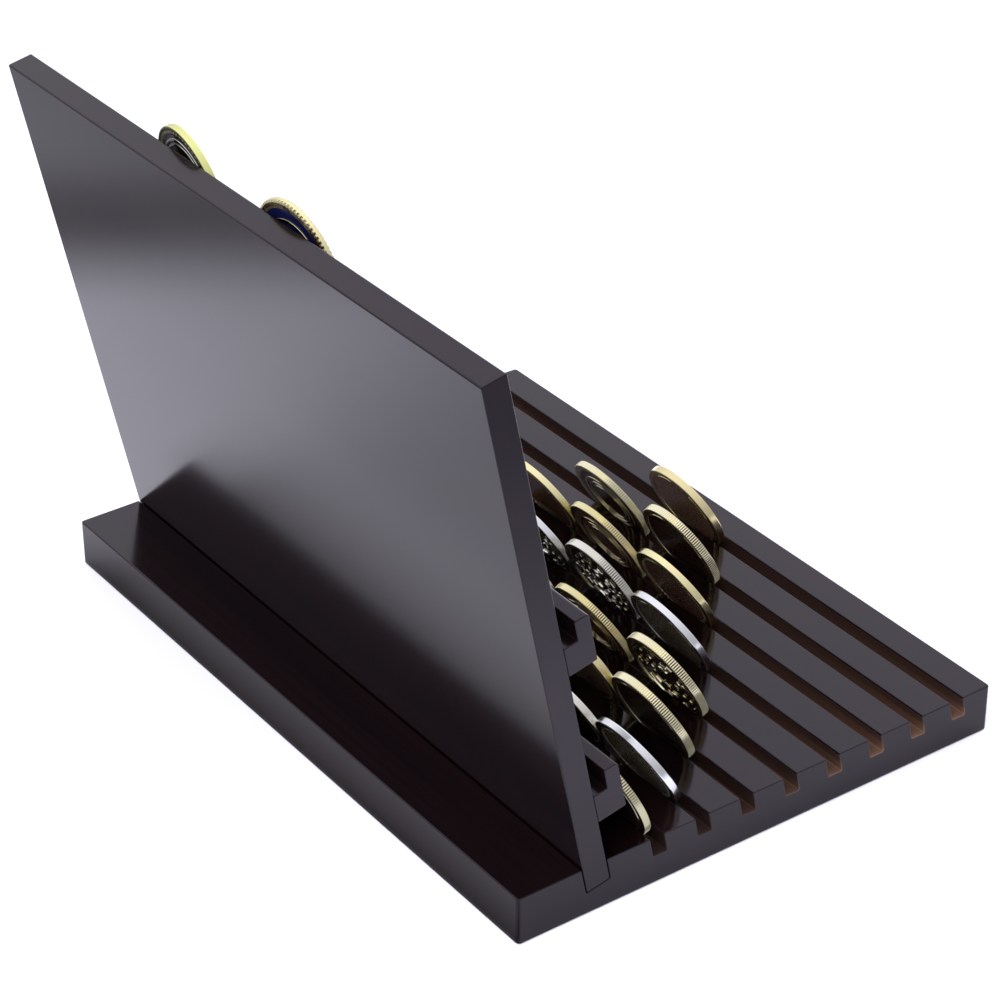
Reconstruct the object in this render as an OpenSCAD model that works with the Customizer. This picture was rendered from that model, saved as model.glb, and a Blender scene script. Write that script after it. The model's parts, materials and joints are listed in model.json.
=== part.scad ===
// Coin display stand: a grooved base board, a tilted back panel that drops into a slot,
// three coin rails glued to the panel, and the coins that stand in the grooves and on the top rail.
// Millimetres, +Z up. The origin is under the middle of the base, with the front edge towards -Y.

/* [Base board] */
// Width of the stand, end to end
base_w = 300; // [220:1:420]
// Thickness of the base board
base_t = 19.6; // [16:0.1:30]
// Radius of the base board's upright corners
base_corner_r = 1.5; // [0.5:0.1:5]
// Width of the eased edges on all the wooden pieces
ease = 0.4; // [0.2:0.05:0.8]

/* [Coin grooves] */
// Number of grooves
groove_count = 8; // [2:1:8]
// Width of a groove, measured along the base
groove_w = 6; // [5.4:0.1:8]
// Depth of a groove below the top of the base
groove_depth = 8; // [6:0.1:11]
// Distance from one groove to the next
groove_pitch = 20; // [16:0.5:30]
// Distance from the front edge to the rear edge of the first groove
groove_front = 19.8; // [12:0.1:40]
// Distance from the rear edge of the last groove to the foot of the panel
groove_back = 19.2; // [18:0.1:40]

/* [Back panel] */
// Height of the panel above the base, along its slope
panel_h = 206; // [180:1:300]
// Thickness of the panel
panel_t = 10; // [8:0.1:14]
// Angle at which the panel and the grooves lean back
panel_tilt = 11.5; // [6:0.5:16]
// Width of the ledge behind the panel
rear_ledge = 27.3; // [15:0.1:60]
// Depth of the panel's slot, along its slope
slot_depth = 11; // [8:0.5:14]

/* [Rails] */
// Height of a rail's bar, along the panel
rail_h = 20; // [16:0.5:26]
// How far a rail stands out from the panel
rail_out = 12; // [10:0.5:13]
// Width of the channel between a rail's lip and the panel
channel_w = 6; // [5:0.1:7]
// Depth of the channel
channel_depth = 8; // [5:0.1:11]
// Radius on the outer top edge of a rail's lip
lip_r = 1.6; // [0.6:0.1:2.5]
// Height of the lower rail's underside above the base
rail_lower_up = 15.8; // [12:0.1:22]
// Height of the middle rail's underside above the base
rail_middle_up = 82.2; // [70:0.1:95]
// Distance from the panel's top edge down to the top rail's underside
rail_top_down = 48; // [46:0.5:60]
// Distance from each end of the panel to the end of the top rail
rail_top_inset = 30; // [10:1:40]

/* [Coins] */
// Diameter of the coins in the grooves
coin_d = 40; // [32:0.5:42]
// Thickness of a thick coin
coin_thick = 3.2; // [2.9:0.1:3.6]
// Thickness of a thin coin
coin_thin = 2.8; // [2.2:0.1:3]
// Diameter of the smooth-edged coin on the top rail
top_coin_gold_d = 43; // [40:0.5:52]
// Diameter of the enamelled coin on the top rail
top_coin_blue_d = 42.5; // [40:0.5:52]
// Place of the smooth-edged coin from the middle of the top rail
top_coin_gold_x = 45.5; // [31:0.5:60]
// Place of the enamelled coin from the middle of the top rail
top_coin_blue_x = -23.5; // [-60:0.5:-23]
// Width of a coin's raised rim
rim_w = 2.4; // [1.5:0.1:4]
// Depth of a coin's field below its rim
field_depth = 0.4; // [0.2:0.05:0.6]
// Height of the raised design above the field
relief = 0.3; // [0.1:0.05:0.4]

/* [Clearances] */
// Gap between a loose piece and what holds it
clearance = 0.3; // [0.2:0.05:0.4]

/* [Hidden] */
$fn = 96;

// Coins in each groove, front groove first, one letter a coin from the -X end: g gold with a smooth
// edge, r gold with a reeded edge, s silver with a smooth edge, e silver with a reeded edge.
// A capital letter is a thick coin.
row_plan = ["G", "Rr", "grg", "sEsg", "Rrsgr", "RGsrgE", "ssrgesr", "rgsrges"];
// Gap between neighbouring coins in each groove
row_gap = [3, 3.7, 2.4, 2.4, 3.5, 1.6, 0.6, 3.3];
// How far each row stands off the middle of the stand
row_shift = [2, 2, 0, -1, 0, 0, 0, 0];

wood_colour = [0.10, 0.075, 0.075];
gold_colour = [0.83, 0.68, 0.36];
silver_colour = [0.80, 0.79, 0.76];
blue_colour = [0.10, 0.14, 0.38];

// Depth of the base board, front to back: the grooves, the panel's foot and the ledge behind it
panel_foot = panel_t / cos(panel_tilt);
base_d = groove_front + (groove_count - 1) * groove_pitch + groove_back + panel_foot + rear_ledge;

// The foot of the panel's rear face on top of the base, and the run of its slope
panel_y = base_d / 2 - rear_ledge;
slope_run = tan(panel_tilt);

// Depth to which a coin sinks below the top of the base, and the most that it may lean
coin_sink = groove_depth - clearance;
most_lean = 60;

// Rail values shared by the rails and the coins that stand on them
lip_t = rail_out - channel_w;
lip_steps = 8;
rail_top_up = panel_h - rail_top_down;
channel_floor = rail_h - channel_depth;

// Coin edge and design sizes
edge_ease = 0.3;
rim_slope = 0.4;
ring_w = 0.7;
ring_inset = 1.6;
design_root = 0.2;

// Rear edge of a groove at the top of the base, counted from the front
function groove_y(row) = -base_d / 2 + groove_front + (row - 1) * groove_pitch;

// How many coins of a row fit on the base
function coins_in(row) =
    min(len(row_plan[row - 1]), floor((base_w + row_gap[row - 1]) / (coin_d + row_gap[row - 1])));
function coin_name(row, place) = str("coin_", row, "_", place);
function coin_letter(row, place) = row_plan[row - 1][place - 1];
function is_thick(letter) = ord(letter) < ord("a");
function coin_kind(letter) = is_thick(letter) ? chr(ord(letter) + ord("a") - ord("A")) : letter;
function coin_t(letter) = is_thick(letter) ? coin_thick : coin_thin;
function coin_x(row, place) =
    row_shift[row - 1] + (place - (coins_in(row) + 1) / 2) * (coin_d + row_gap[row - 1]);

// Room left in front of a leaning coin's foot, which is zero when it rests on both groove walls
function foot_room(lean, t) =
    groove_w + (coin_sink - t * sin(lean)) * slope_run
    - 2 * clearance - coin_sink * tan(lean) - t * cos(lean);
function groove_lean(t, low = 0, high = most_lean, steps = 30) =
    let (middle = (low + high) / 2)
    steps == 0 ? middle
    : foot_room(middle, t) > 0 ? groove_lean(t, middle, high, steps - 1)
    : groove_lean(t, low, middle, steps - 1);

// Lean at which a coin's top comes to rest against the face of the lower rail
function rail_lean(row) =
    let (reach = coin_d - coin_sink / cos(panel_tilt),
         gap = (panel_y - groove_y(row)) * cos(panel_tilt) - panel_t - rail_out - 2 * clearance)
    panel_tilt + asin(min(1, max(0, gap / reach)));
function coin_lean(row, t) = min(groove_lean(t), rail_lean(row));

// Carries an outline drawn in Y and Z along X, centred on the middle of the stand
module along_x(length) {
    rotate([90, 0, 90]) linear_extrude(length, center = true) children();
}

// Turns a piece into the panel's frame: +Z up the slope, +Y out of the rear face
module on_panel() {
    translate([0, panel_y, base_t]) rotate([-panel_tilt, 0, 0]) children();
}

// A rectangle with eased corners
module eased_rect(y0, y1, z0, z1) {
    polygon([
        [y0 + ease, z0], [y1 - ease, z0], [y1, z0 + ease], [y1, z1 - ease],
        [y1 - ease, z1], [y0 + ease, z1], [y0, z1 - ease], [y0, z0 + ease]]);
}

// Outline of one leaning groove, with eased edges at the top of the base
module groove_outline(rear) {
    front = rear - groove_w;
    sink_run = groove_depth * slope_run;
    polygon([
        [front - ease, base_t], [front - ease * slope_run, base_t - ease],
        [front - sink_run, base_t - groove_depth], [rear - sink_run, base_t - groove_depth],
        [rear - ease * slope_run, base_t - ease], [rear + ease, base_t]]);
}

// Outline of the panel's slot, square across its floor and open above the base
module slot_outline() {
    translate([panel_y, base_t]) rotate(-panel_tilt)
        translate([-panel_t - clearance, -slot_depth])
            square([panel_t + 2 * clearance, slot_depth + base_t]);
}

// Plan of the base board, with its rounded corners
module base_plan() {
    corner_x = base_w / 2 - base_corner_r;
    corner_y = base_d / 2 - base_corner_r;
    square([2 * corner_x, base_d], center = true);
    square([base_w, 2 * corner_y], center = true);
    for (x = [-corner_x, corner_x]) for (y = [-corner_y, corner_y])
        translate([x, y]) circle(base_corner_r);
}

module base_board() {
    color(wood_colour) intersection() {
        along_x(base_w) difference() {
            eased_rect(-base_d / 2, base_d / 2, 0, base_t);
            for (row = [1 : groove_count]) groove_outline(groove_y(row));
            slot_outline();
        }
        linear_extrude(base_t) base_plan();
    }
}

module back_panel() {
    color(wood_colour) on_panel() along_x(base_w)
        eased_rect(-panel_t, 0, clearance - slot_depth, panel_h);
}

// A bar with a rebate at its upper rear edge, which leaves a lip and a channel along the panel
module rail(up, length) {
    back = -panel_t;
    face = back - rail_out;
    lip_back = face + lip_t;
    top = up + rail_h;
    lip_arc = [for (i = [0 : lip_steps]) let (turn = 180 - i * 90 / lip_steps)
        [face + lip_r, top - lip_r] + lip_r * [cos(turn), sin(turn)]];
    color(wood_colour) on_panel() along_x(length) polygon(concat(
        [[back, up], [face + ease, up], [face, up + ease]],
        lip_arc,
        [[lip_back - ease, top], [lip_back, top - ease],
         [lip_back, up + channel_floor], [back, up + channel_floor]]));
}

module rail_lower() { rail(rail_lower_up, base_w); }

module rail_middle() { rail(rail_middle_up, base_w); }

module rail_top() { rail(rail_top_up, base_w - 2 * rail_top_inset); }

// A star, sun or flower outline with sharp points
module star(points, outer, inner) {
    polygon([
        for (i = [0 : 2 * points - 1])
            let (radius = i % 2 == 0 ? outer : inner, turn = 90 + i * 180 / points)
            radius * [cos(turn), sin(turn)]]);
}

// The raised design of a coin: a sun, a star, a flower or a ring of beads
module design(kind, radius) {
    if (kind == "g") star(5, radius * 0.62, radius * 0.25);
    if (kind == "r") star(16, radius * 0.66, radius * 0.42);
    if (kind == "s") star(8, radius * 0.60, radius * 0.34);
    if (kind == "e") {
        circle(radius * 0.26);
        for (turn = [0 : 45 : 315]) rotate(turn) translate([radius * 0.5, 0]) circle(radius * 0.11);
    }
}

// A coin lying on its rear face, with a raised rim, a raised ring and a design on both faces
module flat_coin(d, t, kind) {
    radius = d / 2;
    field_r = radius - rim_w;
    ring_r = field_r - ring_inset;
    low = field_depth;
    high = t - field_depth;
    color(kind == "s" || kind == "e" ? silver_colour : kind == "b" ? blue_colour : gold_colour) {
        rotate_extrude() polygon([
            [0, low], [ring_r - ring_w, low], [ring_r - ring_w, low - relief], [ring_r, low - relief],
            [ring_r, low], [field_r - rim_slope, low], [field_r, 0],
            [radius - edge_ease, 0], [radius, edge_ease], [radius, t - edge_ease], [radius - edge_ease, t],
            [field_r, t], [field_r - rim_slope, high], [ring_r, high], [ring_r, high + relief],
            [ring_r - ring_w, high + relief], [ring_r - ring_w, high], [0, high]]);
        translate([0, 0, low - relief]) linear_extrude(relief + design_root) design(kind, ring_r);
        translate([0, 0, high - design_root]) linear_extrude(relief + design_root) design(kind, ring_r);
    }
}

// Stands a coin on its rim at the origin, with its rear face towards +Y
module standing_coin(d, t, kind) {
    rotate([90, 0, 0]) translate([0, d / 2, 0]) flat_coin(d, t, kind);
}

// A coin in its groove, leaning back on the groove's rear edge
module groove_coin(row, place) {
    letter = coin_letter(row, place);
    lean = coin_lean(row, coin_t(letter));
    foot_y = groove_y(row) - clearance - coin_sink * tan(lean);
    translate([coin_x(row, place), foot_y, base_t - coin_sink]) rotate([-lean, 0, 0])
        standing_coin(coin_d, coin_t(letter), coin_kind(letter));
}

// Angle by which a coin stands turned in the top rail's channel, with one edge close to the panel
function channel_turn(d) = asin(min(1, max(0, (channel_w - coin_thin - 2 * clearance) / d)));

// A coin in the top rail's channel; way is 1 or -1 and says which of its edges is close to the panel
module top_coin(x, d, kind, way) {
    on_panel() translate([x, -panel_t - channel_w / 2, rail_top_up + channel_floor + clearance])
        rotate([0, 0, way * channel_turn(d)]) translate([0, coin_thin / 2, 0])
        standing_coin(d, coin_thin, kind);
}

module coin_top_gold() { top_coin(top_coin_gold_x, top_coin_gold_d, "g", -1); }

module coin_top_blue() { top_coin(top_coin_blue_x, top_coin_blue_d, "b", 1); }

base_board();
back_panel();
rail_lower();
rail_middle();
rail_top();
for (row = [1 : groove_count]) for (place = [1 : coins_in(row)])
    groove_coin(row, place);
coin_top_gold();
coin_top_blue();
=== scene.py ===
import json
import math

import bpy
import numpy as np
from mathutils import Matrix, Vector

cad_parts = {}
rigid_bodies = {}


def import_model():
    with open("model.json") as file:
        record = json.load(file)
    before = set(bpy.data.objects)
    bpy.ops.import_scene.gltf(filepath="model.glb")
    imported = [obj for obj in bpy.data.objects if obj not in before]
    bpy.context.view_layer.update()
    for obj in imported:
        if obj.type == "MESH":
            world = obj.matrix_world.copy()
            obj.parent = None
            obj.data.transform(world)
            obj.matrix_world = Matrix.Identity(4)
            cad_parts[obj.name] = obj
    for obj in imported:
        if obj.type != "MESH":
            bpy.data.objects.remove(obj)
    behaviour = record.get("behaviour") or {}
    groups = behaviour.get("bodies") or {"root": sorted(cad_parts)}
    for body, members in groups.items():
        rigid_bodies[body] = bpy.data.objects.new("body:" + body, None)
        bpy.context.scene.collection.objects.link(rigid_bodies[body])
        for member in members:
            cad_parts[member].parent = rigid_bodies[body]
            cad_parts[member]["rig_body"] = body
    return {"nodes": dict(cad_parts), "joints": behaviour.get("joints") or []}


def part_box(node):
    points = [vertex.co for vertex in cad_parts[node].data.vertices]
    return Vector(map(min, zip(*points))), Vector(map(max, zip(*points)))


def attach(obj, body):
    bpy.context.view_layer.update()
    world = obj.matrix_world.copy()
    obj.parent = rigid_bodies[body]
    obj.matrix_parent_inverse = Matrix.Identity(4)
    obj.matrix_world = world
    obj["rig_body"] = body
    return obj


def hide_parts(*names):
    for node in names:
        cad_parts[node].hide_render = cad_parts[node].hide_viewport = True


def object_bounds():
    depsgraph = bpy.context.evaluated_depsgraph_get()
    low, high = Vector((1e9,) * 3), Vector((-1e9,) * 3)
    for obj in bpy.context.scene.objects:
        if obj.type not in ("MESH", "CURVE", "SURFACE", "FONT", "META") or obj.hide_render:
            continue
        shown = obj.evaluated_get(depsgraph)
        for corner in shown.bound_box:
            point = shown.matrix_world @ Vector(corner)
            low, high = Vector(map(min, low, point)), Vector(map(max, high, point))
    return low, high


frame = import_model()
cadLow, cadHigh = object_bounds()
print("frame loaded,", len(frame["nodes"]), "nodes")

mm = 0.001  # settings and surfaces are in millimetres, Blender is in metres
scene = bpy.context.scene
slide = frame["joints"][0]["axis"]  # every piece lifts along the panel's slope
tilt = math.atan2(slide[1], slide[2])


# Shader graphs

class Flow:  # a socket that takes part in sums, which add Math nodes
    def __init__(self, tree, socket=None):
        self.tree = tree
        self.socket = socket

    def node(self, kind, settings=None, inputs=None, output=0):  # any other node, settings first
        made = self.tree.nodes.new(kind)
        for name, value in (settings or {}).items():
            if name == "stops":
                self.fillRamp(made.color_ramp, value)
            else:
                setattr(made, name, value)
        for name, value in (inputs or {}).items():
            if isinstance(value, Flow):
                self.tree.links.new(value.socket, made.inputs[name])
            else:
                made.inputs[name].default_value = value
        return Flow(self.tree, made.outputs[output])

    def fillRamp(self, ramp, stops):
        while len(ramp.elements) < len(stops):
            ramp.elements.new(1.0)
        for element, (place, value) in zip(ramp.elements, stops):
            element.position = place
            element.color = (value, value, value, 1.0)

    def maths(self, operation, *values):
        return self.node("ShaderNodeMath", {"operation": operation}, dict(enumerate(values)))

    def __add__(self, other):
        return self.maths("ADD", self, other)

    def __radd__(self, other):
        return self.maths("ADD", other, self)

    def __sub__(self, other):
        return self.maths("SUBTRACT", self, other)

    def __rsub__(self, other):
        return self.maths("SUBTRACT", other, self)

    def __mul__(self, other):
        return self.maths("MULTIPLY", self, other)

    def __rmul__(self, other):
        return self.maths("MULTIPLY", other, self)


def newGraph(name):
    material = bpy.data.materials.new(name)
    material.use_nodes = True
    return material, Flow(material.node_tree), material.node_tree.nodes["Principled BSDF"]


def feed(graph, shader, name, flow):
    graph.tree.links.new(flow.socket, shader.inputs[name])


def mixColour(graph, factor, first, second):
    return graph.node("ShaderNodeMix", {"data_type": "RGBA"}, {0: factor, 6: first, 7: second}, 2)


def noise(graph, cells, detail, roughness=0.55):  # noise with so many cells to a metre each way
    place = graph.node("ShaderNodeTexCoord", output="Object")
    stretched = graph.node("ShaderNodeMapping", None, {"Vector": place, "Scale": cells})
    wanted = {"Vector": stretched, "Scale": 1.0, "Detail": detail, "Roughness": roughness}
    return graph.node("ShaderNodeTexNoise", None, wanted, "Fac")


def ramp(graph, flow, *stops):
    return graph.node("ShaderNodeValToRGB", {"stops": stops}, {"Fac": flow})


def blend(share, first, second):  # so much of the first and the rest of the second
    return first * share + second * (1 - share)


def bump(graph, height, distance, strength):
    wanted = {"Height": height, "Distance": distance, "Strength": strength}
    return graph.node("ShaderNodeBump", None, wanted, "Normal")


lacquer = {
    "dark": (0.0016, 0.0006, 0.0010, 1),
    "brown": (0.0062, 0.0021, 0.0024, 1),
    "sheen": (0.86, 0.80, 0.97, 1),  # tint of its reflections
    "gloss": 0.125,  # roughness of the clean lacquer
    "hazy": 0.06,  # added where the lacquer is dull
    "fibre": ((9, 900, 900), 4.0, 0.6),  # cells to a metre along X, Y and Z, detail and roughness
    "figure": ((3.2, 46, 46), 3.0),
    "cloud": ((9, 16, 16), 2.0),
    "peel": ((420, 420, 420), 1.0),
    "fibreInStreaks": 0.45,  # the rest is the broad figure
    "streak": ((0.34, 0.0), (0.68, 1.0)),
    "cloudInHaze": 0.7,  # the rest is fibre
    "fibreInBump": 0.35,  # the rest is orange peel
    "grainDepth": 0.00002,
    "grainStrength": 0.35,
    "index": 1.43,
}


def lacqueredWood():  # espresso stain under a satin lacquer, with faint long fibres
    material, graph, shader = newGraph("lacquered_dark_wood")
    fibre = noise(graph, *lacquer["fibre"])
    figure = noise(graph, *lacquer["figure"])
    cloud = noise(graph, *lacquer["cloud"])
    streak = ramp(graph, blend(lacquer["fibreInStreaks"], fibre, figure), *lacquer["streak"])
    feed(graph, shader, "Base Color", mixColour(graph, streak, lacquer["dark"], lacquer["brown"]))
    haze = blend(lacquer["cloudInHaze"], cloud, fibre)
    feed(graph, shader, "Roughness", lacquer["gloss"] + lacquer["hazy"] * haze)
    grain = blend(lacquer["fibreInBump"], fibre, noise(graph, *lacquer["peel"]))
    feed(graph, shader, "Normal", bump(graph, grain, lacquer["grainDepth"], lacquer["grainStrength"]))
    shader.inputs["IOR"].default_value = lacquer["index"]
    shader.inputs["Specular Tint"].default_value = lacquer["sheen"]
    return material


grooveWood = {
    "stain": (0.0095, 0.0040, 0.0040, 1),
    # colour of raw wood, also used for the painted light on the groove walls
    "raw": (0.108, 0.056, 0.037, 1),
    "fibre": ((14, 700, 700), 4.0, 0.6),
    "grainDepth": 0.00012,
    "grainStrength": 0.6,
    "depth": 0.008,  # of a groove, in metres
    "ragged": 0.7,  # how far the fibres break the edge of the lower, rawer part
    "thin": 0.19,  # how far the raw wood shows through the stain
    "byDepth": ((0.35, 0.0), (0.95, 1.0)),  # the raw colour shows more towards a groove's bottom
    "byRow": ((0.22, 1.0), (0.36, 0.62), (0.50, 0.18), (0.65, 0.05)),  # painted shade: from the base's front to its rear the walls darken, the rear grooves lying in the panel's shade
    "byEnd": ((0.35, 0.16), (0.75, 0.45), (1.0, 1.0)),  # painted light: from the base's middle to its ends the walls grow lighter, where light reaches in past the panel
    "smooth": 0.42,
    "rough": 0.25,  # added by the fibres
    "index": 1.45,
}


def cutWood():  # groove walls: thin red-brown stain with raw wood low down, plus painted light that makes the front grooves and the ends lighter, and painted shade in the rear grooves
    material, graph, shader = newGraph("stained_groove_wood")
    low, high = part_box("base_board")
    fibre = noise(graph, *grooveWood["fibre"])
    place = graph.node("ShaderNodeTexCoord", output="Object")
    x, y, z = (graph.node("ShaderNodeSeparateXYZ", None, {0: place}, axis) for axis in "XYZ")
    deep = (high.z - z) * (1 / grooveWood["depth"])
    byDepth = ramp(graph, deep + grooveWood["ragged"] * (fibre - 0.5), *grooveWood["byDepth"])
    byRow = ramp(graph, (y - low.y) * (1 / (high.y - low.y)), *grooveWood["byRow"])
    byEnd = ramp(graph, graph.maths("ABSOLUTE", x) * (1 / high.x), *grooveWood["byEnd"])
    # the share of the raw colour is raw wood together with painted light and painted shade
    rawAndLitShare = byRow * (grooveWood["thin"] + byDepth * byEnd)
    feed(graph, shader, "Base Color", mixColour(graph, rawAndLitShare, grooveWood["stain"], grooveWood["raw"]))
    feed(graph, shader, "Roughness", grooveWood["smooth"] + grooveWood["rough"] * fibre)
    feed(graph, shader, "Normal", bump(graph, fibre, grooveWood["grainDepth"], grooveWood["grainStrength"]))
    shader.inputs["IOR"].default_value = grooveWood["index"]
    return material


metals = {  # polished colour, colour of the tarnish and of the painted shade, roughness of the rim
    "tanGold": ((0.76, 0.67, 0.37, 1), (0.110, 0.062, 0.044, 1), 0.20),
    "yellowGold": ((0.84, 0.77, 0.43, 1), (0.110, 0.054, 0.038, 1), 0.19),
    "paleGold": ((0.90, 0.85, 0.57, 1), (0.018, 0.009, 0.008, 1), 0.19),
    "deepGold": ((0.84, 0.77, 0.43, 1), (0.024, 0.012, 0.008, 1), 0.19),
    "limeGold": ((0.74, 0.76, 0.30, 1), (0.008, 0.006, 0.004, 1), 0.20),
    "silver": ((0.77, 0.78, 0.79, 1), (0.105, 0.090, 0.075, 1), 0.18),
    "warmSilver": ((0.80, 0.79, 0.70, 1), (0.018, 0.014, 0.011, 1), 0.19),
}
coinWear = {
    "stain": ((150, 150, 150), 4.0, 0.6),
    "evenStain": 0.4,  # leaves the roughness as it is
    "haze": 0.05,
    "leastPatina": 0.55,  # share of the patina and painted shade that always shows
    "morePatina": 0.75,  # added by the stain
    "soiled": ((0.12, 0.0), (0.92, 1.0)),
    "lustre": 0.55,  # how much smoother the fields are than the rim
    "dulled": 0.8,  # how far dirt and painted shade hide the metal
    "scratch": ((900, 900, 900), 2.0),
    "scratchDepth": 0.000008,
    "scratchStrength": 0.2,
}


def coinMetal(tone):  # struck metal, tarnished in the low places and darkened by painted shade where the patina attribute marks it
    polished, tarnishAndShade, roughness = metals[tone]
    material, graph, shader = newGraph("struck_" + tone)
    patina = graph.node("ShaderNodeAttribute", {"attribute_name": "patina"}, output="Fac")
    stain = noise(graph, *coinWear["stain"])
    scratch = noise(graph, *coinWear["scratch"])
    patchy = coinWear["leastPatina"] + coinWear["morePatina"] * stain
    # tarnish darkens the metal, and on the rear faces and in the cuts so does painted shade
    dirtAndShade = ramp(graph, patina * patchy, *coinWear["soiled"])
    feed(graph, shader, "Base Color", mixColour(graph, dirtAndShade, polished, tarnishAndShade))
    field = graph.node("ShaderNodeAttribute", {"attribute_name": "field"}, output="Fac")
    clouds = coinWear["haze"] * (stain - coinWear["evenStain"])
    feed(graph, shader, "Roughness", roughness * (1 - coinWear["lustre"] * field) + clouds)
    scratched = bump(graph, scratch, coinWear["scratchDepth"], coinWear["scratchStrength"])
    feed(graph, shader, "Normal", scratched)
    feed(graph, shader, "Metallic", 1 - coinWear["dulled"] * dirtAndShade)
    return material


enamel = {
    "deep": (0.003, 0.004, 0.026, 1),
    "light": (0.008, 0.010, 0.060, 1),
    "cloud": ((110, 110, 110), 3.0),
    "smooth": 0.10,
    "rough": 0.10,  # added by the clouds
    "index": 1.52,
}


def blueEnamel():  # glassy navy fill between raised metal lines
    material, graph, shader = newGraph("navy_enamel")
    cloud = noise(graph, *enamel["cloud"])
    feed(graph, shader, "Base Color", mixColour(graph, cloud, enamel["deep"], enamel["light"]))
    feed(graph, shader, "Roughness", enamel["smooth"] + enamel["rough"] * cloud)
    shader.inputs["IOR"].default_value = enamel["index"]
    return material


woodFinish = [lacqueredWood(), cutWood()]
metalFinish = {tone: coinMetal(tone) for tone in metals}
enamelFinish = blueEnamel()
print("finishes made")


# Meshes

def putMesh(name, points, loops, sizes, finishes, faceFinish, smoothFace):
    mesh = bpy.data.meshes.new(name)
    mesh.vertices.add(len(points))
    mesh.vertices.foreach_set("co", (points * mm).ravel())
    mesh.loops.add(len(loops))
    mesh.loops.foreach_set("vertex_index", loops)
    mesh.polygons.add(len(sizes))
    mesh.polygons.foreach_set("loop_start", np.cumsum(sizes) - sizes)
    mesh.update(calc_edges=True)
    for finish in finishes:
        mesh.materials.append(finish)
    mesh.polygons.foreach_set("material_index", faceFinish)
    mesh.polygons.foreach_set("use_smooth", smoothFace)
    piece = bpy.data.objects.new(name, mesh)
    scene.collection.objects.link(piece)
    return piece


def standFor(piece, node):  # the piece takes a node's place, on the node's own body
    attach(piece, frame["nodes"][node]["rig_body"])
    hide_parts(node)


def nodePoints(node):
    mesh = frame["nodes"][node].data
    points = np.empty(len(mesh.vertices) * 3)
    mesh.vertices.foreach_get("co", points)
    return points.reshape(-1, 3) / mm


def toSlope(points):  # Y and Z turned back by the tilt, so that the panel stands square
    across = points[:, 1] * math.cos(tilt) - points[:, 2] * math.sin(tilt)
    up = points[:, 1] * math.sin(tilt) + points[:, 2] * math.cos(tilt)
    return np.stack([across, up], 1)


def fromSlope(outline):
    y = outline[:, 0] * math.cos(tilt) + outline[:, 1] * math.sin(tilt)
    z = outline[:, 1] * math.cos(tilt) - outline[:, 0] * math.sin(tilt)
    return np.stack([y, z], 1)


def unit(vectors):
    return vectors / np.linalg.norm(vectors, axis=-1, keepdims=True)


# Each corner of a closed outline becomes an arc that touches both its sides: the two tangent directions
# from the arc's centre are blended along the arc by the sines of the angle done and the angle left.
def roundedOutline(corners, radii, steps):
    corners = np.asarray(corners, float)
    toLast = unit(np.roll(corners, 1, 0) - corners)
    toNext = unit(np.roll(corners, -1, 0) - corners)
    half = np.arccos(np.clip((toLast * toNext).sum(1), -1, 1)) / 2
    reach = (radii / np.tan(half))[:, None]
    centre = corners + unit(toLast + toNext) * (radii / np.sin(half))[:, None]
    start = corners + toLast * reach - centre
    end = corners + toNext * reach - centre
    sweep = (math.pi - 2 * half)[:, None, None]
    share = np.linspace(0, 1, steps + 1)[None, :, None]
    arc = start[:, None] * np.sin((1 - share) * sweep) + end[:, None] * np.sin(share * sweep)
    return (centre[:, None] + arc / np.sin(sweep)).reshape(-1, 2)


# The outline is carried along X. Near each end it shrinks along its own normals as a quarter circle does:
# with the end's radius r, the ring at angle a stands r - r sin a from the end and is r - r cos a smaller.
def carryAlongX(name, outline, length, endRadius, finishes, sideFinish, corner=None, steps=4):
    count = len(outline)
    along = unit(np.roll(outline, -1, 0) - outline)
    normal = np.stack([along[:, 1], -along[:, 0]], 1)
    last = np.roll(normal, 1, 0)
    miter = (normal + last) / (1 + (normal * last).sum(1))[:, None]
    turn = np.linspace(0, math.pi / 2, steps + 1)[:, None]
    radius = np.full(count, endRadius)
    shrink = miter * endRadius
    if corner is not None:  # upright corners: a larger radius, seen from above
        radius = np.where(corner != 0, np.abs(corner), radius)
        shrink[:, 0] = np.where(corner != 0, corner, shrink[:, 0])
    run = length / 2 - radius[None] * (1 - np.sin(turn))
    flat = outline[None] - (1 - np.cos(turn))[:, :, None] * shrink[None]
    endRings = np.concatenate([run[:, :, None], flat], 2)
    startRings = endRings[::-1] * np.array([-1, 1, 1])
    points = np.concatenate([startRings, endRings]).reshape(-1, 3)
    rings = 2 * (steps + 1)
    first = np.arange(count)
    second = np.roll(first, -1)
    base = (np.arange(rings - 1) * count)[:, None]
    quads = np.stack([base + first, base + second, base + count + second, base + count + first], 2)
    caps = np.concatenate([first[::-1], first + (rings - 1) * count])
    loops = np.concatenate([quads.ravel(), caps])
    sizes = np.concatenate([np.full((rings - 1) * count, 4), [count, count]])
    faceFinish = np.concatenate([np.tile(sideFinish, rings - 1), [0, 0]])
    return putMesh(name, points, loops, sizes, finishes, faceFinish, np.zeros(len(sizes), bool))


# Wooden pieces

arris = {"radius": 0.6, "groove": 0.5, "inner": 0.5, "seat": 0.45, "end": 0.4, "steps": 5}
board = {"grooves": 8, "pitch": 20.0, "front": 19.8, "width": 6.0, "depth": 8.0,
         "corner": 1.5, "seatGap": 0.3}


def grooveCorners(rear, top):  # one leaning groove, from its rear edge round to its front edge
    lean = board["depth"] * math.tan(tilt)
    low = top - board["depth"]
    front = rear - board["width"]
    return [(rear, top), (rear - lean, low), (front - lean, low), (front, top)]


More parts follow.
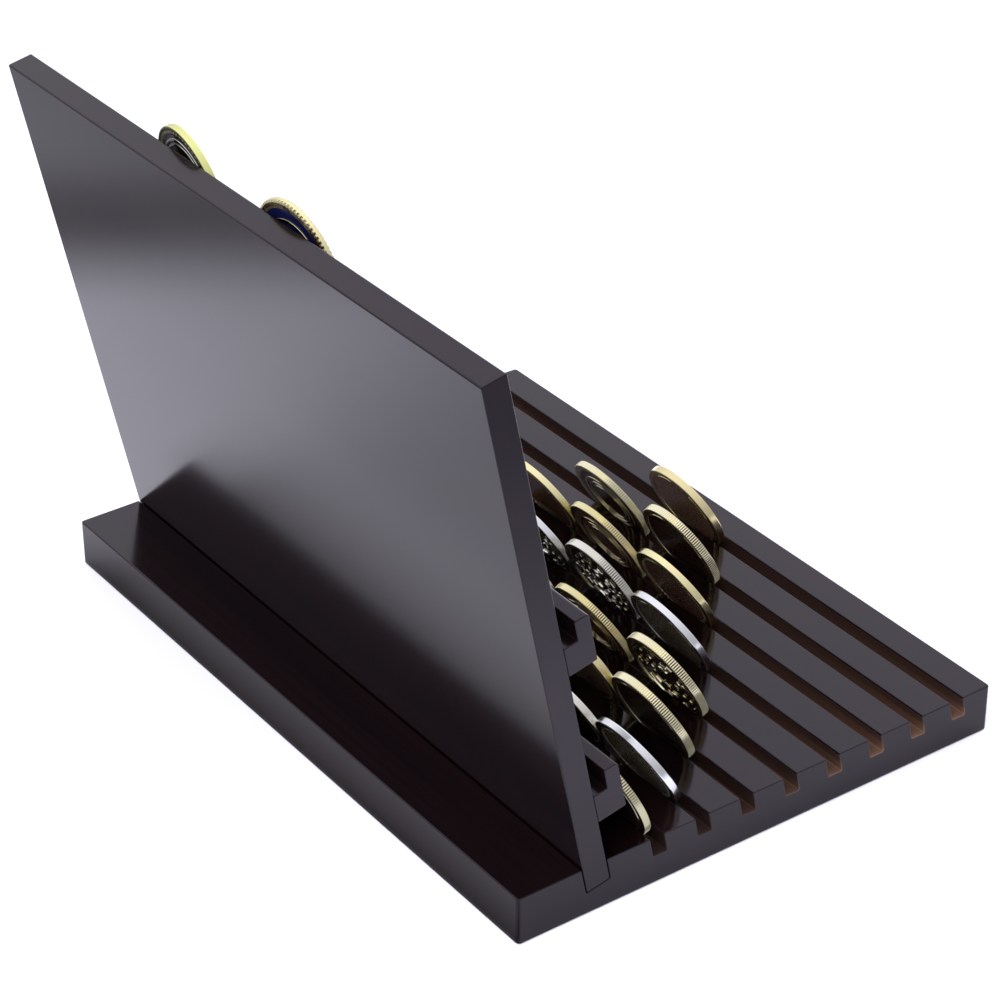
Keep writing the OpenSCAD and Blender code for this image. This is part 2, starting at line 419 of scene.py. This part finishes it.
def slotCorners(panelPoints, top):  # the panel's slot, from its rear edge round to its front edge
    low, high = panelPoints.min(0), panelPoints.max(0)
    gap = board["seatGap"]
    floor = fromSlope(np.array([(high[0] + gap, low[1] - gap), (low[0] - gap, low[1] - gap)]))
    climb = (top - floor[:, 1]) * math.tan(tilt)
    return [(floor[0, 0] + climb[0], top), tuple(floor[0]), tuple(floor[1]), (floor[1, 0] + climb[1], top)]


def makeBaseBoard():
    points = nodePoints("base_board")
    low, high = points.min(0), points.max(0)
    front, rear, top = low[1], high[1], high[2]
    corners = [(front, low[2]), (rear, low[2]), (rear, top)]
    radii = [arris["radius"]] * 3
    arcs, runs = [0] * 3, [0] * 3  # finish of each corner's arc and of the straight after it
    cuts = [(slotCorners(toSlope(nodePoints("back_panel")), top), arris["seat"], 0)]
    for row in reversed(range(board["grooves"])):
        cuts.append((grooveCorners(front + board["front"] + row * board["pitch"], top), arris["groove"], 1))
    for cut, radius, finish in cuts:
        corners += cut
        radii += [radius, arris["inner"], arris["inner"], radius]
        arcs += [0, finish, finish, 0]
        runs += [finish, finish, finish, 0]
    corners.append((front, top))
    radii.append(arris["radius"])
    outline = roundedOutline(corners, np.array(radii), arris["steps"])
    strips = [[arc] * arris["steps"] + [run] for arc, run in zip(arcs + [0], runs + [0])]
    sideFinish = np.array(strips).ravel()
    near = arris["radius"] * 1.01  # just past the arris
    corner = board["corner"] * ((outline[:, 0] > rear - near) * 1.0 - (outline[:, 0] < front + near))
    piece = carryAlongX("baseBoard", outline, high[0] - low[0], arris["end"], woodFinish, sideFinish,
                        corner)
    standFor(piece, "base_board")


def makeBackPanel():
    points = nodePoints("back_panel")
    low, high = toSlope(points).min(0), toSlope(points).max(0)
    corners = [(low[0], low[1]), (high[0], low[1]), (high[0], high[1]), (low[0], high[1])]
    outline = fromSlope(roundedOutline(corners, np.full(4, arris["radius"]), arris["steps"]))
    sideFinish = np.zeros(len(outline), int)
    piece = carryAlongX("backPanel", outline, np.ptp(points[:, 0]), arris["end"], woodFinish, sideFinish)
    standFor(piece, "back_panel")


rail = {"lip": 6.0, "channel": 8.0, "lipFront": 1.6}


def makeRail(node, name):  # a bar with a rebate that leaves a lip and a channel along the panel
    points = nodePoints(node)
    (face, low), (back, top) = toSlope(points).min(0), toSlope(points).max(0)
    lipBack, channelFloor = face + rail["lip"], top - rail["channel"]
    corners = [(face, low), (back, low), (back, channelFloor), (lipBack, channelFloor), (lipBack, top),
               (face, top)]
    radii = np.array([arris["radius"], arris["seat"], arris["seat"], arris["inner"], arris["radius"],
                      rail["lipFront"]])
    outline = fromSlope(roundedOutline(corners, radii, arris["steps"]))
    sideFinish = np.zeros(len(outline), int)
    piece = carryAlongX(name, outline, np.ptp(points[:, 0]), arris["end"], woodFinish, sideFinish)
    standFor(piece, node)


makeBaseBoard()
makeBackPanel()
makeRail("rail_lower", "lowerRail")
makeRail("rail_middle", "middleRail")
makeRail("rail_top", "topRail")
print("wooden pieces made")


# Coins

coin = {
    "field": 0.4, "slope": 0.4, "relief": 0.3,  # the field's depth, the rim's foot, the design's height
    "beadBand": 1.4, "ringBand": 1.3,  # widths of the field's two outer bands
    "beadRings": 6, "ringRings": 4, "centreRings": 16, "fineRings": 36,  # rings of the grid in each band
    "wall": 0.05,  # half the width of a raised shape's wall
    "closest": 0.02,  # a ring that lies nearer to the next is left out
    "barTop": 0.9,  # height of a bar, as a share of the relief
    "starStep": 0.06,  # run of a star's edge, as a share of the field's radius
    "starFoot": 0.35, "starRise": 1.6,  # height of that edge, and steepness of the facets
    # field dirt of the rear and the front face, and patina beside the relief; the rear face's larger share
    # is painted shade, since it faces the panel, away from the light
    "rearDirt": 1.4, "frontDirt": 0.62, "cornerDirt": 0.2,
    "cleanRise": 6, "corners": (-3, -1, 1, 3),  # how fast relief is clean, and columns that a wall soils
    "footReach": 0.8,  # width of the dirt along the rim's foot
    "handled": (0.95, 0.15),  # painted shade in the cuts fades out round the top, where light falls
    "inlayEdge": 0.3,  # height from which a place counts as raised
    "sharp": 34,  # degrees between faces that aren't shaded as one
}
rimShape = {  # steps of the rim's profile; round and land are shares of its eased corner
    "foot": 0.06, "footDrop": 0.05, "crown": 0.15, "shoulder": 0.3, "shoulderDrop": 0.02,
    "round": 0.3, "land": 1.4,
}
# Teeth round the edge, where each is cut, how that shapes the seven outermost rings, their painted shade in
# the cuts, and a darkening of the rim's flat band
edges = {
    "smooth": {"rim": 2.4, "ease": 0.3, "teeth": 224, "places": [0], "cut": [0], "inward": [0] * 7,
               "down": [0] * 7, "cutDirt": [0] * 7, "soil": [0] * 7},
    "reeded": {"rim": 2.4, "ease": 0.3, "teeth": 132, "places": [0, 0.44, 0.72], "cut": [0, 0, 1],
               "inward": [0, 0, 0, 0, 0.06, 0.34, 0.34], "down": [0] * 7,
               "cutDirt": [0, 0, 0, 0, 0.4, 2.6, 2.6], "soil": [0] * 7},
    "narrow": {"rim": 1.2, "ease": 0.3, "teeth": 224, "places": [0], "cut": [0], "inward": [0] * 7,
               "down": [0] * 7, "cutDirt": [0] * 7, "soil": [1, 1, 1, 0.2, 0, 0, 0]},
    "rope": {"rim": 2.6, "ease": 0.75, "teeth": 74, "places": [0, 0.36, 0.54, 0.82], "cut": [0, 0, 1, 1],
             "inward": [0, 0, 0, 0, 0.40, 0, 0], "down": [0, 0, 0.2, 0.6, 0.5, 0, 0],
             "cutDirt": [0, 0, 0.9, 1, 1, 0.5, 0], "soil": [0.7, 1, 1, 0.3, 0, 0, 0]},
}
patterns = {  # raised shapes of a face; places and sizes are shares of the field's radius
    "star": [("facets", 5, 0.64, 0.26), ("ring", 0.86, 0.028), ("beads", 56, 0.945, 0.024)],
    "sun": [("facets", 16, 0.70, 0.42), ("ring", 0.86, 0.030), ("ring", 0.76, 0.020),
            ("bars", 66, 0.94, 0.030, 0.5)],
    "compass": [("facets", 8, 0.60, 0.34), ("ring", 0.88, 0.024), ("bars", 32, 0.775, 0.050, 0.45)],
    "flower": [("beads", 1, 0, 0.24), ("beads", 8, 0.50, 0.15), ("ring", 0.86, 0.030),
               ("beads", 16, 0.73, 0.050), ("beads", 56, 0.945, 0.024)],
    "plain": [("ring", 0.975, 0.010)],
    "border": [("bars", 56, 0.93, 0.026, 0.55)],
    "rings": [("ring", 0.76, 0.030), ("ring", 0.62, 0.014), ("ring", 0.50, 0.012)],
    "petals": [("bars", 5, 0.25, 0.035, 0.45), ("bars", 8, 0.44, 0.035, 0.4),
               ("bars", 10, 0.62, 0.035, 0.4), ("bars", 13, 0.79, 0.035, 0.42)],
    "strokes": [("bars", 9, 0.78, 0.035, 0.3), ("bars", 7, 0.58, 0.035, 0.35),
                ("bars", 4, 0.36, 0.040, 0.4), ("bars", 5, 0.90, 0.012, 0.5)],
    "beaded": [("beads", 54, 0.940, 0.028), ("ring", 0.81, 0.024), ("ring", 0.72, 0.020)],
    "boss": [("facets", 8, 0.58, 0.38), ("ring", 0.73, 0.030)],
}
deeper = {"petals": 0.35, "strokes": 0.35}  # bold relief, on a field that is so much lower
fineRears = ("rings", "petals", "strokes", "beaded", "boss")  # seen closely in the photo's view


# A star of facets: it climbs steeply at the outline, which is the straight line from a tip to the next
# notch in polar form, and then evenly to a flat middle.
def facetStar(rho, angle, points, outer, inner):
    step = math.pi / points
    fold = np.abs((angle - math.pi / 2 + step) % (2 * step) - step)
    edge = outer * inner * math.sin(step) / (outer * np.sin(fold) + inner * np.sin(step - fold))
    climb = np.clip(0.5 + (edge - rho) / coin["starStep"], 0, 1)
    foot = coin["starFoot"]
    return foot * climb + (1 - foot) * np.clip(coin["starRise"] * (1 - rho / edge), 0, 1)


# A raised ring is flat across its width.
def ringLine(rho, angle, place, half):
    return np.where(np.abs(rho - place) < half, 1.0, 0)


# A dome of the given radius at the coin's middle, or a circle of such domes.
def domes(rho, angle, number, place, size):
    turn = (angle + math.pi / number) % (2 * math.pi / number) - math.pi / number
    away = np.hypot(rho * np.cos(turn) - place, rho * np.sin(turn)) / size
    return np.sqrt(np.clip(1 - away ** 2, 0, 1))


# A circle of short bars: full height inside a share of each pitch and a width of the radius.
def barCircle(rho, angle, number, place, half, fill):
    share = (angle * number / (2 * math.pi)) % 1
    return np.where((share < fill) & (np.abs(rho - place) < half), coin["barTop"], 0)


shapes = {"facets": facetStar, "ring": ringLine, "beads": domes, "bars": barCircle}


def designHeight(pattern, rho, angle):
    rho, angle = np.broadcast_arrays(rho, angle)
    return np.maximum.reduce([shapes[kind](rho, angle, *numbers) for kind, *numbers in patterns[pattern]])


def wallPlaces(kind, *numbers):  # radii at which a shape steps up or down
    if kind == "ring":
        return numbers[0] - numbers[1], numbers[0] + numbers[1]
    if kind == "bars":
        return numbers[1] - numbers[2], numbers[1] + numbers[2]
    return ()


# Radius and height of each ring of half a coin, from the middle of the face out to the edge, and which
# rings carry the design. The height is measured from the coin's middle plane.
def halfProfile(radius, half, edge, pattern):
    field = radius - edge["rim"]
    foot = field - coin["slope"]
    ringEnd = foot - coin["beadBand"]
    centreEnd = ringEnd - coin["ringBand"]
    centreRings = coin["fineRings" if pattern in fineRears else "centreRings"]
    places = [place for kind, *numbers in patterns[pattern] for place in wallPlaces(kind, *numbers)]
    walls = np.array(places) * field
    inner = np.sort(np.concatenate([
        np.linspace(0, centreEnd, centreRings, endpoint=False),
        np.linspace(centreEnd, ringEnd, coin["ringRings"], endpoint=False),
        np.linspace(ringEnd, foot, coin["beadRings"]), walls - coin["wall"], walls + coin["wall"]]))
    inner = inner[(inner <= foot) & (np.diff(inner, append=foot + 1) > coin["closest"])]
    low = half - coin["field"] - deeper.get(pattern, 0)
    ease = edge["ease"]
    bevel = rimShape["round"] * ease
    outerRadius = np.array([field - rimShape["foot"], field + rimShape["crown"],
                            radius - ease - rimShape["shoulder"], radius - ease, radius - bevel,
                            radius, radius])
    outerHeight = np.array([half - rimShape["footDrop"], half, half, half - rimShape["shoulderDrop"],
                            half - bevel, half - ease, half - rimShape["land"] * ease])
    rings = np.concatenate([inner, outerRadius])
    heights = np.concatenate([np.full(len(inner), low), outerHeight])
    carries = np.concatenate([np.ones(len(inner) - 1), np.zeros(len(outerRadius) + 1)])
    return rings, heights, carries, field


# Half a coin as a grid of rings and columns: the design raises the field, and the edge's cuts draw its
# outermost rings inwards and down. Dirt fills the open field and the relief's foot, with more on the rear
# face as painted shade; painted shade darkens the cuts below the coin's top.
def coinHalf(radius, half, edge, pattern, openDirtAndShade):
    rings, heights, carries, field = halfProfile(radius, half, edge, pattern)
    column = np.arange(edge["teeth"])[:, None] + np.array(edge["places"])
    angle = column.ravel() * 2 * math.pi / edge["teeth"]
    cut = np.tile(edge["cut"], edge["teeth"])[None]
    design = designHeight(pattern, rings[:, None] / field, angle[None]) * carries[:, None]
    outer = np.zeros((4, len(rings), 1))
    outer[:, -len(edge["soil"]):, 0] = [edge[name] for name in ("inward", "down", "cutDirt", "soil")]
    inward, down, cutDirt = outer[:3] * cut
    # painted shade: the darkening in the cuts fades out towards the coin's top, where light falls
    top, fade = coin["handled"]
    cutDirt = cutDirt * np.clip((top - np.sin(angle)) / fade, 0, 1)
    foot = np.clip((rings - field + coin["slope"]) / coin["footReach"] + 1, 0, 1)[:, None]
    rolled = [np.roll(design, shift, 1) for shift in coin["corners"]]
    beside = np.maximum.reduce(rolled + [foot + 0 * design])
    reach = 1 if pattern in deeper else 0  # bold relief is clean down to its foot
    clean = np.maximum.reduce([design, np.roll(design, reach, 0), np.roll(design, -reach, 0)])
    # dirt of the open field; on the rear face its heavier share is painted shade
    fieldDirtAndShade = openDirtAndShade * (1 - np.clip(coin["cleanRise"] * clean, 0, 1))
    low = fieldDirtAndShade + coin["cornerDirt"] * np.clip(beside - design, 0, 1)
    patina = np.maximum.reduce([carries[:, None] * low, cutDirt, outer[3] + 0 * low])
    across = rings[:, None] - inward
    along = heights[:, None] + (coin["relief"] + deeper.get(pattern, 0)) * design - down
    points = np.stack([across * np.cos(angle), across * np.sin(angle), along], 2)
    return points, patina, np.repeat(carries[:, None], len(angle), 1), design


# A coin is one grid, ring by ring from the middle of the front face over the edge to the middle of the
# rear face, which is the other half turned over.
def coinSurface(radius, thickness, edge, front, rear):
    shown = coinHalf(radius, thickness / 2, edges[edge], front, coin["frontDirt"])
    # the rear face gets heavier field dirt, which is partly painted shade
    hidden = coinHalf(radius, thickness / 2, edges[edge], rear, coin["rearDirt"])
    hidden[0][:, :, 2] *= -1
    return [np.concatenate([first, second[::-1]]) for first, second in zip(shown, hidden)]


# Quads join ring to ring, and a fan of triangles closes each face on its middle point.
def coinFaces(rings, steps):
    first = np.arange(steps)
    second = np.roll(first, -1)
    start = (1 + np.arange(rings - 3) * steps)[:, None]
    quads = np.stack([start + first, start + steps + first, start + steps + second, start + second], 2)
    lastRing = 1 + (rings - 3) * steps
    rearMiddle = lastRing + steps
    frontFan = np.stack([np.zeros(steps, int), 1 + first, 1 + second], 1)
    rearFan = np.stack([lastRing + first, np.full(steps, rearMiddle), lastRing + second], 1)
    loops = np.concatenate([frontFan.ravel(), quads.ravel(), rearFan.ravel()])
    sizes = np.concatenate([np.full(steps, 3), np.full((rings - 3) * steps, 4), np.full(steps, 3)])
    return loops, sizes


def coinPlace(node):  # middle, axis towards the front, radius and thickness of a CAD coin
    points = nodePoints(node)
    middle = (points.min(0) + points.max(0)) / 2
    axis = np.linalg.eigh(np.cov((points - middle).T))[1][:, 0]
    axis *= -np.sign(axis[1])
    along = (points - middle) @ axis
    away = np.linalg.norm(points - middle - along[:, None] * axis, axis=1)
    return middle, axis, away.max(), np.ptp(along)


def pointValues(grid):  # each middle point stands for its whole ring
    return np.concatenate([grid[0, :1], grid[1:-1].reshape(-1, *grid.shape[2:]), grid[-1, :1]])


def makeCoin(node, edge, front, rear, tone, inlay=None, inlayRaised=False):
    middle, axis, radius, thickness = coinPlace(node)
    grid, patina, inField, design = coinSurface(radius, thickness, edge, front, rear)
    rings, steps = patina.shape
    upright = unit(np.cross(axis, [1.0, 0, 0]))
    side = np.cross(upright, axis)
    flat = pointValues(grid)
    points = middle + flat[:, :1] * side + flat[:, 1:2] * upright + flat[:, 2:] * axis
    loops, sizes = coinFaces(rings, steps)
    finishes = [metalFinish[tone], inlay or metalFinish[tone]]
    raised = (design[:-1] + design[1:]) / 2 > coin["inlayEdge"]
    bothIn = inField[:-1] + inField[1:] == 2  # between two rings of a field
    faceFinish = ((raised == inlayRaised) & bothIn).astype(int).ravel()
    piece = putMesh("coin" + node[4:].title().replace("_", ""), points, loops, sizes, finishes, faceFinish,
                    np.ones(len(sizes), bool))
    piece.data.set_sharp_from_angle(angle=math.radians(coin["sharp"]))
    for name, values in (("patina", patina), ("field", inField)):
        marks = piece.data.attributes.new(name, "FLOAT", "POINT")
        marks.data.foreach_set("value", pointValues(values))
    standFor(piece, node)


# Coins of each groove from the -X end: g gold smooth, r gold reeded, s silver smooth, e silver reeded
rows = ["g", "rr", "grg", "sesg", "rrsgr", "rgsrge", "ssrgesr", "rgsrges"]
kinds = {  # edge, pattern of the front face and of the rear face, finish, slot
    "g": ("smooth", "star", "border", "yellowGold", "gold_coin"),
    "r": ("reeded", "sun", "plain", "paleGold", "gold_coin"),
    "s": ("smooth", "compass", "border", "silver", "silver_coin"),
    "e": ("reeded", "flower", "petals", "warmSilver", "silver_coin"),
}
ownTones = {"coin_1_1": "tanGold", "coin_3_2": "yellowGold", "coin_4_4": "tanGold",
            "coin_5_2": "yellowGold", "coin_5_3": "warmSilver", "coin_6_2": "tanGold",
            "coin_7_2": "warmSilver", "coin_8_4": "tanGold"}
ownRears = {"coin_1_1": "plain", "coin_2_2": "rings", "coin_3_2": "rings", "coin_4_1": "plain",
            "coin_4_3": "strokes", "coin_5_1": "strokes", "coin_5_2": "rings", "coin_5_3": "strokes"}

for row, letters in enumerate(rows, 1):
    for place, kind in enumerate(letters, 1):
        node = f"coin_{row}_{place}"
        edge, front, rear, tone, slot = kinds[kind]
        makeCoin(node, edge, front, ownRears.get(node, rear), ownTones.get(node, tone))
makeCoin("coin_top_gold", "narrow", "star", "beaded", "limeGold",
         metalFinish["warmSilver"], True)
makeCoin("coin_top_blue", "rope", "boss", "boss", "deepGold", enamelFinish)
print("coins made")


# Floor, light and camera

studio = {
    "floorSize": 2.8, "floorColour": (0.845, 0.846, 0.915, 1), "floorDrop": 0.0003,
    "floorFade": ((0.55, 1.0), (0.95, 0.0)),  # by metres from the middle
    "matt": 0.9, "floorShine": 0.1,
    "tentColour": (0.97, 0.96, 1.04, 1), "backdrop": 1.06, "brightSide": (0.37, -0.20, 0.90),
    "tent": ((0.15, 0.27), (0.40, 0.53), (0.535, 0.69), (0.68, 0.875), (0.81, 1.03), (1.0, 1.28)),
}
lamps = {  # direction from the stand, distance, diameter and power
    "key": ((0.25, -0.50, 0.83), 1.5, 0.9, 8.0),
    "back": ((-0.45, 0.60, 0.66), 1.6, 1.0, 28.0),
}
shadeCard = {  # painted shade: a dark card on the floor that only reflections see, darkening the floor's reflection across, behind and beside the stand
    "size": 1.7, "middle": (0.15, 0.30), "lift": 0.0002, "colour": (0.02, 0.02, 0.02, 1),
    "across": (0.52, 0.854, 0), "stripe": ((0.28, 0.0), (0.325, 0.85), (0.345, 0.82), (0.375, 0.55)),
    "start": 0.1,  # what the base's rear counts as in behind and dimStart, and its -X end in beside
    "behind": ((0.098, 0.0), (0.1, 0.85), (0.112, 0.50), (0.130, 0.15), (0.160, 0.0)),
    "behindEnd": ((0.13, 1.0), (0.19, 0.0)),  # along X, where the base ends
    "dim": ((0.06, 0.24), (0.10, 0.20), (0.16, 0.08), (0.20, 0.0)),  # along X, farther behind the base
    "dimStart": ((0.125, 0.0), (0.16, 1.0)),
    "beside": ((0.098, 0.0), (0.1, 0.32), (0.13, 0.26), (0.17, 0.15), (0.22, 0.17), (0.38, 0.60),
               (0.6, 0.65)),
}


def addSheet(name, corners, material):
    mesh = bpy.data.meshes.new(name)
    mesh.from_pydata(corners, [], [(0, 1, 2, 3)])
    mesh.materials.append(material)
    sheet = bpy.data.objects.new(name, mesh)
    scene.collection.objects.link(sheet)
    return sheet


def squareAt(x, y, z, half):
    left, right, near, far = x - half, x + half, y - half, y + half
    return [(left, near, z), (right, near, z), (right, far, z), (left, far, z)]


def makeFloor():
    material, graph, shader = newGraph("pale_floor")
    shader.inputs["Base Color"].default_value = studio["floorColour"]
    shader.inputs["Roughness"].default_value = studio["matt"]
    shader.inputs["Specular IOR Level"].default_value = studio["floorShine"]
    place = graph.node("ShaderNodeTexCoord", output="Object")
    away = graph.node("ShaderNodeVectorMath", {"operation": "LENGTH"}, {0: place}, "Value")
    feed(graph, shader, "Alpha", ramp(graph, away, *studio["floorFade"]))
    addSheet("floor", squareAt(0, 0, cadLow.z - studio["floorDrop"], studio["floorSize"] / 2), material)


def makeShadeCard():  # painted shade for reflections: its darkness follows the distance across, behind and beside the stand
    material, graph, shader = newGraph("dark_card")
    shader.inputs["Base Color"].default_value = shadeCard["colour"]
    shader.inputs["Roughness"].default_value = studio["matt"]
    place = graph.node("ShaderNodeTexCoord", output="Object")
    x, y = (graph.node("ShaderNodeSeparateXYZ", None, {0: place}, axis) for axis in "XY")
    away = graph.node("ShaderNodeVectorMath", {"operation": "DOT_PRODUCT"},
                      {0: place, 1: shadeCard["across"]}, "Value")
    stripe = ramp(graph, away, *shadeCard["stripe"])
    fromRear = y - (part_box("base_board")[1].y - shadeCard["start"])
    behind = ramp(graph, fromRear, *shadeCard["behind"]) * ramp(graph, x, *shadeCard["behindEnd"])
    dim = ramp(graph, fromRear, *shadeCard["dimStart"]) * ramp(graph, x, *shadeCard["dim"])
    beside = ramp(graph, cadLow.x + shadeCard["start"] - x, *shadeCard["beside"])
    dark = stripe
    for band in (behind, dim, beside):
        dark = graph.maths("MAXIMUM", dark, band)
    feed(graph, shader, "Alpha", dark)
    corners = squareAt(*shadeCard["middle"], cadLow.z + shadeCard["lift"], shadeCard["size"] / 2)
    card = addSheet("reflectionCard", corners, material)
    card.visible_camera = False
    card.visible_diffuse = False
    card.visible_shadow = False


def makeLight():
    world = bpy.data.worlds.new("tent")
    world.use_nodes = True
    graph = Flow(world.node_tree)
    seen = graph.node("ShaderNodeLightPath", output="Is Camera Ray")
    sky = world.node_tree.nodes["Background"]
    sky.inputs["Color"].default_value = studio["tentColour"]
    toward = graph.node("ShaderNodeTexCoord", output="Generated")
    facing = graph.node("ShaderNodeVectorMath", {"operation": "DOT_PRODUCT"},
                        {0: toward, 1: studio["brightSide"]}, "Value")
    tent = ramp(graph, 0.5 + 0.5 * facing, *((place, level / 2) for place, level in studio["tent"])) * 2
    feed(graph, sky, "Strength", graph.maths("MAXIMUM", tent, studio["backdrop"] * seen))
    scene.world = world
    for name, (toward, away, size, power) in lamps.items():
        light = bpy.data.lights.new(name, "AREA")
        light.shape = "DISK"
        light.size = size
        light.energy = power
        lamp = bpy.data.objects.new(name, light)
        direction = Vector(toward).normalized()
        lamp.location = (cadLow + cadHigh) / 2 + direction * away
        lamp.rotation_euler = direction.to_track_quat("Z", "Y").to_euler()
        lamp.visible_glossy = False  # only the tent shows in reflections
        scene.collection.objects.link(lamp)


view = {"from": (-825.02, 598.35, 684.78), "aim": (-57.21, 48.49, 110.0), "roll": -0.148,
        "lens": 113.11, "sensor": 36.0}


def makeCamera():
    data = bpy.data.cameras.new("camera")
    data.sensor_width = view["sensor"]
    data.lens = view["lens"]
    camera = bpy.data.objects.new("camera", data)
    place, aim = Vector(view["from"]) * mm, Vector(view["aim"]) * mm
    turn = (place - aim).to_track_quat("Z", "Y").to_matrix()
    roll = Matrix.Rotation(math.radians(view["roll"]), 3, "Z")
    camera.matrix_world = Matrix.Translation(place) @ (turn @ roll).to_4x4()
    scene.collection.objects.link(camera)
    scene.camera = camera


makeFloor()
makeShadeCard()
makeLight()
makeCamera()
scene.view_settings.view_transform = "Standard"
print("studio set")
